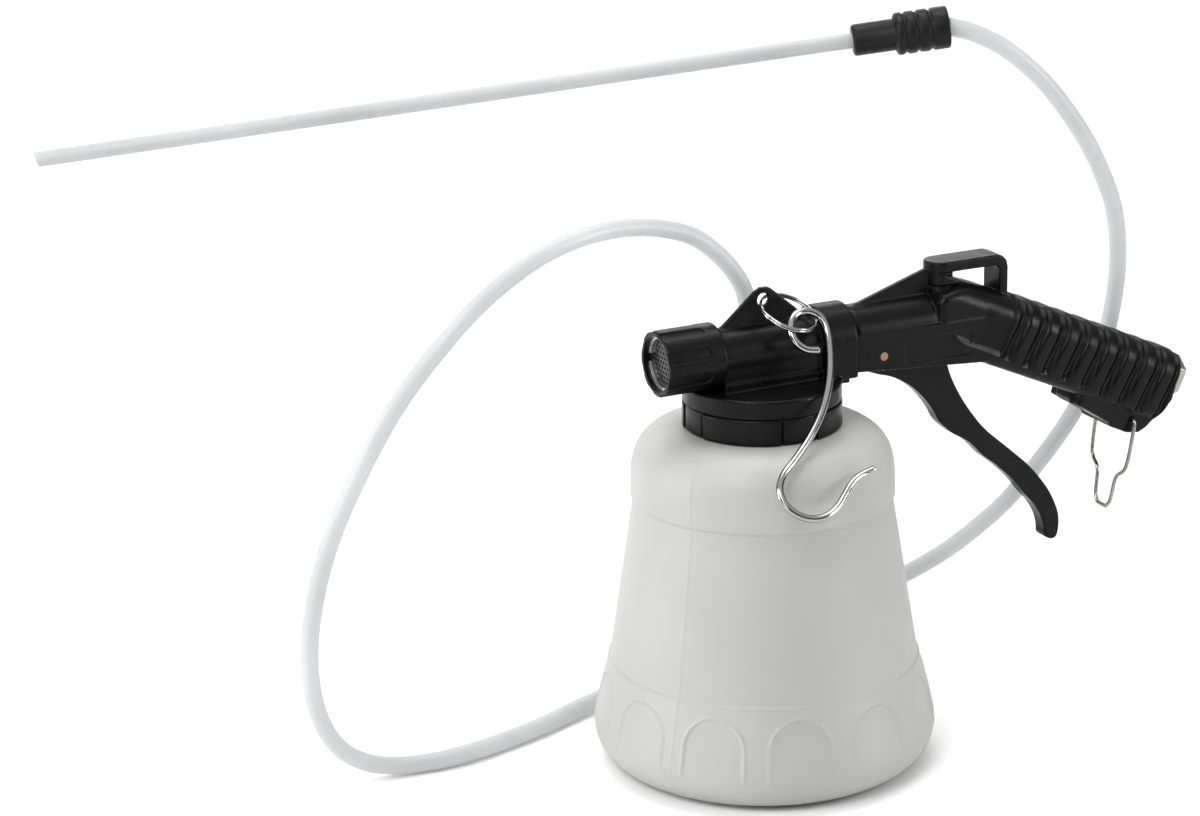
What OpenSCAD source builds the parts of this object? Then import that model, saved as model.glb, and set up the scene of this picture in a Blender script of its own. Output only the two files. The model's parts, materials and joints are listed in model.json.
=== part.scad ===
// Air-operated vacuum fluid extractor: a conical bottle, a venturi head with a silencer,
// a pistol grip with a trigger valve, and a semi-rigid hose with a straight suction probe.
// Millimetres. Origin: centre of the bottle's base. +X runs along the barrel to the grip.

/* [Bottle] */
// Radius of the bottle at its base
bottle_r = 60; // [58:0.5:62]
// Wall thickness of the blown bottle
bottle_wall = 1.6; // [1.2:0.1:2]
// Radius of the rolled edge around the base
base_edge_r = 13; // [10:0.5:15]
// Height of the line that ends the panelled lower band
band_top_z = 37.5; // [34:0.5:40]
// Height of the foot of the shoulder band
shoulder_z = 96.5; // [95:0.5:98]
// Radius of the shoulder band
shoulder_r = 45.8; // [45:0.1:46.5]

/* [Screw collar and head] */
// Outer radius of the screw collar
collar_r = 27.5; // [27.3:0.1:27.6]
// Outer radius of the head's skirt
skirt_r = 27.6; // [27.6:0.1:28]
// Height of the top face of the skirt
skirt_top_z = 137; // [137:0.5:137.5]
// Height of the barrel's centre line
axis_z = 148.5; // [148.3:0.1:148.7]
// Radius of the head's barrel
barrel_r = 9; // [8.8:0.1:9.2]
// Radius of the socket sleeve that takes the gun body
sleeve_r = 12.3; // [12.2:0.1:12.5]
// Thickness of the hanging lug
lug_t = 2.2; // [2:0.1:2.4]

/* [Silencer] */
// Outer radius of the silencer cap
silencer_r = 11.5; // [11.3:0.1:11.7]
// Length of the silencer cap
silencer_len = 22; // [21:0.5:23]
// Number of grip flutes around the silencer cap
flute_count = 8; // [6:1:10]

/* [Gun body] */
// Half the width of the trigger housing
housing_half_w = 11; // [10.8:0.1:11.2]
// Slope of the grip below the barrel line, in degrees
grip_drop = 24; // [23.5:0.5:24.5]
// Half the width of the grip
grip_half_w = 12; // [11.8:0.1:12.2]
// Number of raised ribs on the grip
rib_count = 9; // [7:1:9]
// Distance from rib to rib
rib_pitch = 9.04; // [8.97:0.01:9.11]
// Width of the hanging bracket's strap
bracket_w = 11.5; // [10:0.5:12.5]

/* [Trigger] */
// Thickness of the trigger
trigger_t = 7; // [6.5:0.5:7.5]
// Radius of the pivot pin
pivot_pin_r = 1.5; // [1.4:0.05:1.6]

/* [Hose and probe] */
// Outer diameter of the hose
hose_d = 6.35; // [6:0.05:6.4]
// Outer diameter of the suction probe
probe_d = 5.5; // [5:0.1:5.6]
// Length of the suction probe, with the part inside its connector
probe_len = 304; // [280:2:304]

/* [Wire parts] */
// Diameter of the hook's wire
hook_wire_d = 2.6; // [2.2:0.1:2.6]
// Diameter of the trigger lock's wire
bail_wire_d = 1.4; // [1.2:0.1:1.5]

/* [Hidden] */
$fn = 64;
gap = 0.05;                                  // running clearance on a radius
eps = 0.01;

// ---- bottle outline ----
wall_lean = 12;                              // lean of the panelled band, in degrees
band_r = 54.5;                               // radius where the panelled band ends
neck_r = 22.2;                               // outer radius of the neck
neck_top_z = 128.2;
dome_foot_z = shoulder_z + 4.7;
dome_top = [25, 121.5];                      // radius and height of the top of the dome
dome_power = 0.7;
dome_steps = 12;
edge_step = 15;                              // degrees from point to point on the base edge

// ---- collar, skirt and spigot ----
collar_z = 121.8;
skirt_z = 131;
collar_in_r = 23.8;
spigot_r = 19.6;
flange_r = 22;
flange_z = 129.5;

// ---- head ----
silencer_x = -18.5;                          // rear face of the silencer cap
sleeve_x = 19;
gun_x = 31.4;                                // joint face between the sleeve and the gun body
head_bore_r = 5.5;
suction_x = -3;
hose_port = [3, 15.5];                       // x and y of the upright hose spigot
lug_apex = [0.6, 165.2];
lug_r = 5;
lug_hole = [0.3, 165.7];
lug_hole_r = 2.6;

// ---- gun body ----
housing_top_z = 150.3;
knee = [80.6, axis_z];                       // where the grip's axis meets the barrel's axis
grip_end = 90.2;                             // end face, along the grip from the knee
grip_up = 12.2;                              // smooth tube above and below its axis
first_rib = 18.9;
rib_rise = 0.9;
rib_w = 5.6;
inlet_lift = 3.5;                            // the inlet sits above the grip's axis
slot_half_w = trigger_t / 2 + 0.4;
bail_pivot = [78.3, -15.2];                  // along and above the grip's axis
bail_foot = 10;                              // half the width of the pad under the grip
trigger_pivot = [42, 142];
valve_x = 52;
pad_z = 136;                                 // top of the trigger, under the valve stem
seat_z = 150;
chamber_top_z = 157.1;
chamber_r = 4.05;

// ---- hose, connector and probe ----
// Centre line of the hose, from the nut on the head to the connector
hose_route = [
    [3, 15.5, 148.4], [3, 15.5, 156], [2, 16, 164], [-2, 17, 172], [-9, 18, 180], [-19, 18, 187],
    [-38, 15, 192.5], [-58, 11, 193.5], [-79, 7, 189.5], [-100, 5, 178.5], [-118, 4, 163.5],
    [-134, 6, 144], [-148, 10, 118], [-157, 15, 93], [-160, 24, 63], [-157, 31, 38],
    [-149, 36, 19], [-137, 39, 8], [-122, 39, 3.5], [-100, 38, 3.5], [-68, 47, 3.5],
    [-37, 60, 4], [-5, 67, 6], [25, 65, 12], [50, 55, 22], [72, 43, 34], [90, 32, 46.5],
    [104, 26, 58], [117, 22.5, 70], [135, 19, 92], [145, 17.5, 109], [151, 16, 126],
    [153.4, 13, 150], [151.2, 11.5, 172], [145.6, 12, 188.5], [137, 13.4, 205],
    [124.5, 15.8, 222.3], [110.5, 18.7, 235.8], [97.5, 21.8, 243.6], [88, 25, 246.5]
];
hose_steps = 2;                              // rings on each stretch between two points
probe_axis = [-0.917, 0.381, -0.116];        // from the connector to the probe's tip
connector_len = 34;
connector_end = hose_route[len(hose_route) - 1];

// ---- hook and ring ----
ring_centre = [7.2, -6.2, 161.5];
ring_normal = [0.194, -0.387, 0.901];
ring_r = 10.2;
ring_wire_r = 0.45;
hook_lean = 38;                              // the hook leans out over the bottle's shoulder
hook_origin = [14.3, -12.8, 157.8];
// Centre line of the hook in its own plane: across, then down from the ring
hook_path = [
    [11.8, 9.2], [7.6, 8.2], [4.8, 5], [4.2, 1], [5.8, -3], [9.4, -5.3], [13.4, -5.1], [16.6, -2.6],
    [17.6, 2.4], [16.1, 10], [13.4, 18], [9.6, 25.4], [4.6, 32.6], [-2, 39.6], [-9, 45.6], [-15, 50.2],
    [-18.2, 54.6], [-18.6, 59], [-16.8, 63], [-13.4, 66], [-9, 67.4], [-4.4, 67], [0, 64.9],
    [4, 61.4], [7.6, 58], [11.6, 55.6], [17.8, 54]
];
// Half of the lock wire's centre line in its own plane: sideways, then down from its pivot
bail_half = [
    [7.6, 0], [10.4, 0], [11.7, 1.2], [11.9, 5], [11.8, 10], [11.3, 16], [10, 19.4], [6.8, 22],
    [5.6, 24.4], [5.2, 28], [4.6, 32.4], [2.6, 35]
];
bail_lean = 9;

// ---- functions ----
function unit(v) = v / norm(v);
function side_turn(v) = [-v[1], v[0]];
function lerp(a, b, t) = a + (b - a) * t;
function tangent(p, i) = unit(p[min(i + 1, len(p) - 1)] - p[max(i - 1, 0)]);
// Outline moved to its left by t, point by point
function moved_left(p, t) = [for (i = [0:len(p) - 1]) p[i] + t * side_turn(tangent(p, i))];
// Smooth curve through the points of p, with n steps from point to point
function through(a, b, c, d, t) =
    0.5 * ((2 * b) + (c - a) * t + (2 * a - 5 * b + 4 * c - d) * t * t
        + (3 * b - a - 3 * c + d) * t * t * t);
function smooth(p, n) = [
    for (i = [0:len(p) - 2], k = [0:n - 1])
        through(p[max(i - 1, 0)], p[i], p[i + 1], p[min(i + 2, len(p) - 1)], k / n),
    p[len(p) - 1]
];
// Normals carried along a path without twist
function carried(p, n, i = 0) =
    let (t = tangent(p, i), m = unit(n - (n * t) * t))
    i == len(p) - 1 ? [m] : concat([m], carried(p, m, i + 1));

// ---- helpers ----
// Round rod of radius r swept along the points of p
module rod(p, r, sides, start_normal) {
    last = len(p) - 1;
    normals = carried(p, start_normal);
    rings = [
        for (i = [0:last], s = [0:sides - 1])
            let (a = 360 * s / sides, b = cross(tangent(p, i), normals[i]))
            p[i] + r * (cos(a) * normals[i] + sin(a) * b)
    ];
    walls = [
        for (i = [0:last - 1], s = [0:sides - 1])
            let (n = (s + 1) % sides)
            [i * sides + s, (i + 1) * sides + s, (i + 1) * sides + n, i * sides + n]
    ];
    caps = [
        [for (s = [0:sides - 1]) s],
        [for (s = [sides - 1:-1:0]) last * sides + s]
    ];
    polyhedron(points = rings, faces = concat(walls, caps), convexity = 10);
}

module along_x(x0, x1, r, z = axis_z) {
    translate([x0, 0, z]) rotate([0, 90, 0]) cylinder(r = r, h = x1 - x0);
}

// Flat shape drawn in x and z, thickened to both sides of the middle plane
module slab(width) {
    translate([0, width / 2, 0]) rotate([90, 0, 0]) linear_extrude(width) children();
}

// Places children in the grip's frame: +X along the grip, +Z up from it
module on_grip() {
    translate([knee[0], 0, knee[1]]) rotate([0, grip_drop, 0]) children();
}

// Turns +Z onto a direction
module aim(d) {
    u = unit(d);
    rotate([0, acos(u[2]), atan2(u[1], u[0])]) children();
}

module tube(r_out, r_in, h) {
    difference() {
        cylinder(r = r_out, h = h);
        translate([0, 0, -1]) cylinder(r = r_in, h = h + 2);
    }
}

// ---- bottle ----
function dome(i) = let (a = 90 * i / dome_steps) [
    lerp(dome_top[0], shoulder_r, pow(cos(a), dome_power)),
    lerp(dome_foot_z, dome_top[1], pow(sin(a), dome_power))
];
function base_edge(a) = [
    bottle_r - base_edge_r + base_edge_r * cos(a), base_edge_r + base_edge_r * sin(a)
];
bottle_side = concat(
    [[bottle_r - base_edge_r, 0]],
    [for (a = [edge_step - 90:edge_step:0]) base_edge(a)],
    [base_edge(wall_lean)],
    [[band_r, band_top_z], [band_r - 0.6, band_top_z + 0.7], [shoulder_r - 0.8, shoulder_z],
     [shoulder_r, shoulder_z + 0.8]],
    [for (i = [0:dome_steps]) dome(i)],
    [[neck_r + 0.8, dome_top[1] + 0.3], [neck_r, dome_top[1] + 1.1], [neck_r, neck_top_z]]
);

module bottle() {
    inner = moved_left(bottle_side, bottle_wall);
    last = len(inner) - 1;
    color([0.93, 0.94, 0.94, 0.85]) rotate_extrude($fn = 96)
        union() {
            polygon(concat(
                [[0, 0]], bottle_side, [[inner[last][0], neck_top_z]],
                [for (i = [last - 1:-1:1]) inner[i]],
                [[bottle_r - base_edge_r, bottle_wall], [0, bottle_wall]]
            ));
            for (z = [124, 126.5])
                polygon([[neck_r - 0.5, z - 0.8], [neck_r + 0.9, z], [neck_r - 0.5, z + 0.8]]);
        }
}

module bottle_gasket() {
    color([0.25, 0.25, 0.26])
        translate([0, 0, neck_top_z + eps]) tube(22.2, 18.8, flange_z - neck_top_z - 2 * eps);
}

module screw_collar() {
    panel_count = 4;
    half_panel = 31;                         // a raised panel spans this angle each way
    color([0.11, 0.11, 0.115]) difference() {
        union() {
            translate([0, 0, collar_z]) cylinder(r = collar_r, h = skirt_z - collar_z - 0.2, $fn = 96);
            translate([0, 0, collar_z]) cylinder(r = 25.4, h = 12.6);
        }
        translate([0, 0, collar_z - 1]) cylinder(r = collar_in_r, h = 10.4);
        cylinder(r = spigot_r + 0.4, h = 200);
        // a slot down each side of every panel
        for (k = [0:panel_count - 1], side = [-1, 1])
            rotate([0, 0, 360 * (k + 0.5) / panel_count + side * half_panel])
                translate([collar_r - 0.9, -0.5, collar_z - 1]) cube([3, 1, 8.9]);
    }
}

// ---- head ----
module lug_plate() {
    slab(lug_t) difference() {
        union() {
            translate(lug_apex) circle(r = lug_r);
            polygon([[-18.4, 154], [-18.4, 155.9], lug_apex + 4.94 * [cos(135), sin(135)],
                lug_apex + 4.94 * [cos(62), sin(62)], [18, 156.2], [18, 154]]);
        }
        translate(lug_hole) circle(r = lug_hole_r);
    }
}

module head() {
    color([0.1, 0.1, 0.105]) difference() {
        union() {
            // skirt over the collar, and the spigot that the collar holds
            translate([0, 0, skirt_z]) cylinder(r = skirt_r, h = 5, $fn = 96);
            translate([0, 0, skirt_z + 5]) cylinder(r1 = skirt_r, r2 = skirt_r - 1, h = 1, $fn = 96);
            translate([0, 0, flange_z]) cylinder(r = spigot_r, h = 4);
            translate([0, 0, flange_z]) cylinder(r = flange_r, h = 1.4);
            // barrel on its box wall, then the sleeve for the gun body
            along_x(silencer_x, 30, barrel_r);
            translate([silencer_x, -9.4, 136]) cube([48, 18.8, 4.2]);
            translate([silencer_x, -8.6, 139]) cube([48, 17.2, axis_z - 139]);
            along_x(sleeve_x, gun_x, sleeve_r);
            translate([sleeve_x, -sleeve_r + 0.05, 136.2])
                cube([gun_x - sleeve_x, 2 * sleeve_r - 0.1, axis_z - 136.2]);
            // threaded nose for the silencer, the hose boss and the lug
            along_x(silencer_x - 8, silencer_x + 1, 8.8);
            translate([hose_port[0], hose_port[1], 136]) cylinder(r = 6.4, h = 6);
            translate([suction_x, 0, 124]) cylinder(r = 4.6, h = 8);
            lug_plate();
        }
        // room for the collar under the skirt, and the hollow under the top plate
        translate([0, 0, skirt_z - 0.05]) tube(25.8, spigot_r, 3.65);
        // air passage along the barrel and the sleeve's socket
        along_x(silencer_x - 9, 23, head_bore_r);
        along_x(22.9, gun_x + 1, 9.7);
        // suction passage and hose port
        translate([suction_x, 0, 120]) cylinder(r = 2.2, h = axis_z - 120);
        translate([hose_port[0], hose_port[1], 120]) cylinder(r = 2.45, h = 30);
    }
}

module hose_spigot() {
    color([0.78, 0.68, 0.42]) translate([hose_port[0], hose_port[1], 0]) difference() {
        union() {
            translate([0, 0, 134.5]) cylinder(r = 2.4, h = 8);
            translate([0, 0, 142]) cylinder(r = 5.77, h = 3.4, $fn = 6);
            translate([0, 0, 145.3]) cylinder(r = 3.2, h = 3);
        }
        translate([0, 0, 130]) cylinder(r = 1.4, h = 30);
    }
}

module hose_nut() {
    color([0.8, 0.72, 0.46]) translate([hose_port[0], hose_port[1], 145.5]) difference() {
        union() {
            cylinder(r = 5.77, h = 4, $fn = 6);
            translate([0, 0, 3.9]) cylinder(r1 = 4.9, r2 = 4.2, h = 2.6);
        }
        translate([0, 0, -1]) cylinder(r = 3.35, h = 10);
    }
}

module drain_spout() {
    color([0.85, 0.86, 0.86]) translate([hose_port[0], hose_port[1], 112]) tube(2.4, 1.5, 21);
}

module float_cage() {
    color([0.16, 0.16, 0.17]) translate([suction_x, 0, 104]) difference() {
        cylinder(r = 6, h = 23);
        translate([0, 0, 1.5]) cylinder(r = 4.65, h = 30);
        for (a = [0, 90]) rotate([0, 0, a]) translate([-8, -1.5, 4]) cube([16, 3, 12]);
        translate([0, 0, -1]) cylinder(r = 1.5, h = 4);
    }
}

module float_ball() {
    color([0.9, 0.9, 0.88]) translate([suction_x, 0, 105.6 + 4]) sphere(r = 4);
}

module venturi_nozzle() {
    color([0.8, 0.68, 0.36]) difference() {
        union() {
            along_x(4, 22.6, head_bore_r - gap);
            translate([-1, 0, axis_z]) rotate([0, 90, 0]) cylinder(r1 = 1.6, r2 = 4, h = 5.1);
        }
        along_x(-2, 12, 0.8);
        along_x(11, 24, 1.5);
        translate([15, 0, axis_z]) rotate([0, 90, 0]) tube(8, 4.4, 1.6);
    }
}

module nozzle_o_ring() {
    color([0.08, 0.08, 0.08]) translate([15.8, 0, axis_z]) rotate([0, 90, 0])
        rotate_extrude() translate([4.93, 0]) circle(r = 0.5, $fn = 24);
}

module venturi_throat() {
    color([0.78, 0.79, 0.8]) difference() {
        along_x(silencer_x - 7.9, -5.5, head_bore_r - gap);
        along_x(-12, -4, 1.9);
        translate([silencer_x - 8.9, 0, axis_z]) rotate([0, 90, 0]) cylinder(r1 = 3.8, r2 = 1.9, h = 16);
    }
}

// ---- silencer ----
module silencer_cap() {
    front = silencer_x - silencer_len;
    flute_len = 13.5;
    flute_w = 4.4;
    color([0.1, 0.1, 0.105]) difference() {
        union() {
            along_x(front + 0.6, silencer_x - 1.2, silencer_r);
            translate([front, 0, axis_z]) rotate([0, 90, 0])
                cylinder(r1 = silencer_r - 0.5, r2 = silencer_r, h = 0.6);
            translate([silencer_x - 1.2, 0, axis_z]) rotate([0, 90, 0])
                cylinder(r1 = silencer_r, r2 = silencer_r - 1.3, h = 1.1);
        }
        along_x(front - 1, silencer_x - 9.5, 9.5);
        along_x(front + 5, silencer_x + 1, 8.95);
        for (k = [0:flute_count - 1])
            translate([0, 0, axis_z]) rotate([360 * (k + 0.5) / flute_count, 0, 0])
                translate([front - 1, 0, silencer_r - 0.6]) {
                    translate([0, -flute_w / 2, 0]) cube([flute_len + 1, flute_w, 3]);
                    translate([flute_len + 1, 0, 0]) cylinder(r = flute_w / 2, h = 3);
                }
    }
}

module silencer_foam() {
    color([0.5, 0.5, 0.48]) along_x(silencer_x - silencer_len + 4.4, silencer_x - 9.6, 9.3);
}

module silencer_grille() {
    front = silencer_x - silencer_len + 3;
    pitch = 1.9;
    color([0.07, 0.07, 0.075]) difference() {
        along_x(front, front + 1.2, 9.4);
        for (i = [-4:4], j = [-4:4])
            let (y = pitch * (i + j / 2), z = pitch * j * 0.866)
            if (norm([y, z]) < 8)
                translate([front - 1, y, axis_z + z]) rotate([0, 90, 0]) cylinder(r = 0.55, h = 4, $fn = 16);
    }
}

module retaining_ring() {
    color([0.8, 0.8, 0.8]) difference() {
        along_x(silencer_x - silencer_len + 2, silencer_x - silencer_len + 2.8, 9.4);
        along_x(silencer_x - silencer_len + 1, silencer_x - silencer_len + 4, 8.5);
        translate([silencer_x - silencer_len + 1, 5, axis_z - 1.5]) cube([3, 8, 3]);
    }
}

// ---- gun body ----
// Cross-section of the grip, drawn across and up, pulled in by an inset
module grip_section(inset) {
    w = grip_half_w - inset;
    h = grip_up - inset;
    top_r = 8.6;
    low_r = 4;
    union() {
        for (s = [-1, 1]) {
            translate([s * (w - top_r), h - top_r]) circle(r = top_r);
            translate([s * (w - low_r), -h + low_r]) circle(r = low_r);
        }
        translate([-w, -h + low_r]) square([2 * w, 2 * h - low_r - top_r]);
        translate([-w + top_r, 0]) square([2 * (w - top_r), h]);
        translate([-w + low_r, -h]) square([2 * (w - low_r), h]);
    }
}

module grip_length(from, to, inset) {
    translate([from, 0, 0]) rotate([90, 0, 90]) linear_extrude(to - from) grip_section(inset);
}

module grip_tube() {
    // everything ahead of this line belongs to the trigger housing
    front_cut = [[64.5, 149.6], [64.5, 157.5], [66.5, 160], [72, 161.2], [79, 162.6], [230, 162.6],
        [230, 20], [80, 130]];
    difference() {
        union() {
            intersection() {
                on_grip() grip_length(-32, grip_end, 0);
                slab(60) polygon(front_cut);
            }
            for (k = [0:rib_count - 1])
                let (start = first_rib - rib_w / 2 + k * rib_pitch)
                on_grip() grip_length(start, min(start + rib_w, grip_end), -rib_rise);
        }
        // the end face slopes back below the inlet
        on_grip() slab(60)
            polygon([[grip_end, -4], [grip_end - 3.2, -14], [grip_end + 1, -14], [grip_end + 1, -4]]);
    }
}

module grip_pad() {
    boss_r = 5.4;
    on_grip() {
        slab(2 * bail_foot) polygon([[53, -8], [54.2, -16.8], [69.6, -19.2], [71, -20.4],
            [bail_pivot[0], -20.5], [83.6, -19.2], [86.2, -16.3], [88.1, -12], [grip_end - 1, -4],
            [grip_end - 1, 2]]);
        slab(10) polygon([[51.4, -10], [52.2, -16.6], [56, -17.3], [56, -10]]);
        translate([bail_pivot[0], bail_foot, bail_pivot[1]])
            rotate([90, 0, 0]) cylinder(r = boss_r, h = 2 * bail_foot);
    }
}

module hanging_bracket() {
    top_z = 170.5;
    top_strap = 3.8;
    strap = 3.2;
    right_x = 95.1;
    corner = 4.5;
    slab(bracket_w) difference() {
        union() {
            translate([70.4, 162]) square([right_x - corner - 70.4, top_z - 162]);
            translate([80, 150]) square([right_x - 80, top_z - corner - 150]);
            translate([right_x - corner, top_z - corner]) circle(r = corner);
        }
        translate([40, 152]) square([right_x - strap - 41.5, top_z - top_strap - 152]);
        translate([40, 140]) square([right_x - strap - 40, top_z - top_strap - 141.5]);
        translate([right_x - strap - 1.5, top_z - top_strap - 1.5]) circle(r = 1.5);
        // the strap's foot is cut off inside the grip
        polygon([[88, 140], [100, 140], [100, 148], [88, 153]]);
    }
}

// Round post that carries the front of the bracket, with its foot and the strap's round end
module bracket_post() {
    post_x = 70.4;
    translate([post_x, 0, 150]) {
        cylinder(r = 4.7, h = 18);
        cylinder(r = 5.5, h = 11.6);
    }
    translate([post_x, 0, 166.8]) cylinder(r = bracket_w / 2, h = 3.7);
}

module trigger_slot() {
    slab(2 * slot_half_w)
        polygon([[35.6, 125], [35.6, 146.1], [47.6, 146.1], [47.6, 141.1], [59, 141.1], [79, 147],
            [81, 141], [81, 125]]);
}

module gun_body() {
    color([0.1, 0.1, 0.105]) difference() {
        union() {
            along_x(23.1, gun_x + 2, 9.6);
            slab(2 * housing_half_w)
                polygon([[gun_x, 137.6], [86, 133.7], [86, housing_top_z], [gun_x, housing_top_z]]);
            along_x(gun_x, 65, 9.9, 149);
            slab(2.4) polygon([[gun_x + 0.4, 156], [gun_x + 0.4, 157.6], [64.5, 168], [72, 168], [72, 150]]);
            grip_tube();
            grip_pad();
            hanging_bracket();
            bracket_post();
        }
        // shallow panel on both sides of the housing
        for (s = [-1, 1]) translate([47, s * (housing_half_w + 1) - 1.4, 137.9]) cube([30, 2.8, 9.2]);
        trigger_slot();
        translate([trigger_pivot[0], 15, trigger_pivot[1]]) rotate([90, 0, 0])
            cylinder(r = pivot_pin_r + 0.02, h = 30);
        // valve chamber, its outlet to the nozzle and its inlet from the grip
        translate([valve_x, 0, 139]) cylinder(r = chamber_r, h = chamber_top_z - 139);
        along_x(20, valve_x, 1.5, axis_z);
        along_x(valve_x, 76, 2, 153.6);
        on_grip() {
            translate([-8, 0, 0]) rotate([0, 90, 0]) cylinder(r = 4, h = 92);
            translate([80, 0, inlet_lift]) rotate([0, 90, 0]) cylinder(r = 6.9, h = 20);
            translate([bail_pivot[0], 20, bail_pivot[1]]) rotate([90, 0, 0])
                cylinder(r = bail_wire_d / 2 + 0.1, h = 40, $fn = 24);
        }
    }
}

// ---- trigger and valve ----
// Outline of the lever from its top, down the finger side, round the tip and back up
trigger_outline = [
    [38.6, 139.6], [38.3, 135.8], [43.7, 133.2], [49.4, 131.4], [54.5, 128.7], [58.6, 125.8], [63.2, 121.2],
    [67, 116], [69.6, 111.4], [74.8, 106.6], [79.6, 103.7], [83.2, 100.8], [87.8, 96], [92.1, 92.6],
    [96.8, 88.4], [101, 84.2], [105, 79.2], [109.4, 74.2], [112.4, 69.2], [113.8, 64.6], [114.2, 61.2],
    [117.2, 59.6], [119.4, 60.8], [120.2, 66], [119, 71.8], [114.8, 79.9], [107.1, 89.3], [97.2, 98.3],
    [87.4, 107.1], [79.2, 118], [74.4, 126.8], [72.2, 133], [71.6, 136]
];

module trigger() {
    color([0.1, 0.1, 0.105]) slab(trigger_t) difference() {
        union() {
            polygon(concat(smooth(trigger_outline, 3), [[47.4, pad_z], [45.4, 140]]));
            translate(trigger_pivot) circle(r = 3.6);
        }
        translate(trigger_pivot) circle(r = pivot_pin_r + gap);
    }
}

module pivot_pin() {
    color([0.72, 0.45, 0.33]) translate([trigger_pivot[0], housing_half_w + 0.05, trigger_pivot[1]])
        rotate([90, 0, 0]) cylinder(r = pivot_pin_r, h = 2 * housing_half_w + 0.1);
}

module valve_guide() {
    color([0.78, 0.66, 0.36]) difference() {
        translate([valve_x, 0, 141.3]) cylinder(r = chamber_r - gap, h = seat_z - 141.3);
        translate([valve_x, 0, 140]) cylinder(r = pivot_pin_r + gap, h = 12);
        translate([valve_x, 0, 146.6]) cylinder(r = 2.8, h = 5);
        along_x(valve_x - 6, valve_x, 1.4);
    }
}

module valve_stem() {
    color([0.75, 0.76, 0.78]) translate([valve_x, 0, 0]) {
        translate([0, 0, pad_z + 1.55]) sphere(r = 1.5, $fn = 32);
        translate([0, 0, pad_z + 1.55]) cylinder(r = 1.5, h = seat_z + 1.2 - pad_z - 1.55, $fn = 32);
        translate([0, 0, seat_z + 1.1]) cylinder(r = 3.4, h = 1.2);
    }
}

module valve_seal() {
    color([0.08, 0.08, 0.08]) translate([valve_x, 0, seat_z + 0.05]) tube(3.5, 1.55, 1);
}

module valve_spring() {
    turns = 3;
    steps = 16;
    spring_r = 2.7;
    wire_r = 0.3;
    low = seat_z + 2.35 + wire_r;
    high = chamber_top_z - 0.05 - wire_r;
    coil = [
        for (i = [0:turns * steps])
            [valve_x + spring_r * cos(360 * i / steps), spring_r * sin(360 * i / steps),
                lerp(low, high, i / (turns * steps))]
    ];
    color([0.75, 0.75, 0.76]) rod(coil, wire_r, 8, [0, 0, 1]);
}

// ---- air inlet ----
module air_inlet() {
    color([0.78, 0.75, 0.68]) on_grip() translate([0, 0, inlet_lift]) rotate([0, 90, 0]) difference() {
        union() {
            translate([0, 0, grip_end - 9]) cylinder(r = 6.85, h = 10);
            translate([0, 0, grip_end + 0.9]) cylinder(r = 8.6, h = 4.6, $fn = 6);
        }
        translate([0, 0, grip_end - 4.5]) cylinder(r = 5.72, h = 12);
        translate([0, 0, grip_end - 13]) cylinder(r = 3.4, h = 20);
    }
}

module inlet_washer() {
    color([0.35, 0.12, 0.1]) on_grip() translate([grip_end + 0.02, 0, inlet_lift]) rotate([0, 90, 0])
        tube(8, 6.9, 0.85);
}

module inlet_filter() {
    color([0.72, 0.6, 0.4]) on_grip() translate([grip_end - 8.8, 0, inlet_lift]) rotate([0, 90, 0])
        cylinder(r = 3.35, h = 4);
}

// ---- trigger lock, ring and hook ----
module trigger_lock() {
    half = smooth(bail_half, 3);
    count = len(half);
    path = concat(
        [for (i = [0:count - 1]) [0, -half[i][0], -half[i][1]]],
        [for (i = [count - 1:-1:0]) [0, half[i][0], -half[i][1]]]
    );
    pivot = [
        knee[0] + bail_pivot[0] * cos(grip_drop) + bail_pivot[1] * sin(grip_drop), 0,
        knee[1] - bail_pivot[0] * sin(grip_drop) + bail_pivot[1] * cos(grip_drop)
    ];
    color([0.72, 0.72, 0.7]) translate(pivot) rotate([0, bail_lean, 0])
        rod(path, bail_wire_d / 2, 8, [1, 0, 0]);
}

module split_ring() {
    color([0.75, 0.75, 0.75]) translate(ring_centre) aim(ring_normal) rotate_extrude()
        for (s = [-1, 1]) translate([ring_r, s * (ring_wire_r - 0.05)]) circle(r = ring_wire_r, $fn = 20);
}

module hook() {
    path = [for (q = smooth(hook_path, 3)) [q[0], 0, -q[1]]];
    color([0.78, 0.78, 0.78]) translate([0, hook_origin[1], hook_origin[2]]) rotate([-hook_lean, 0, 0])
        rod(path, hook_wire_d / 2, 12, [0, 1, 0]);
}

// ---- hose, connector and probe ----
module hose() {
    color([0.82, 0.84, 0.85]) rod(smooth(hose_route, hose_steps), hose_d / 2, 10, [0, 1, 0]);
}

module on_connector() {
    translate(connector_end) aim(probe_axis) children();
}

module hose_connector() {
    ribbed = 19;
    socket = 14;                             // depth that the probe is pushed in
    // start and width of each ring around the sleeve
    rings = [[0.4, 5.6], [7, 3.8], [11.7, 3.4], [16, 2.6]];
    color([0.09, 0.09, 0.1]) on_connector() difference() {
        union() {
            cylinder(r = 6.8, h = ribbed);
            for (ring = rings) translate([0, 0, ring[0]]) cylinder(r = 7.5, h = ring[1]);
            translate([0, 0, ribbed - 1]) cylinder(r = 5.6, h = connector_len - ribbed + 1);
        }
        translate([0, 0, connector_len - socket]) cylinder(r = probe_d / 2 + gap, h = 20);
        translate([0, 0, -1]) cylinder(r = 2, h = 30);
    }
}

module probe() {
    color([0.84, 0.86, 0.87]) on_connector() translate([0, 0, connector_len - 13.9]) difference() {
        tube(probe_d / 2, 1.9, probe_len);
        // the tip is cut a little on the slant
        translate([0, 0, probe_len - 1.2]) rotate([-11, 12, 0]) translate([-10, -10, 0]) cube(20);
    }
}

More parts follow.
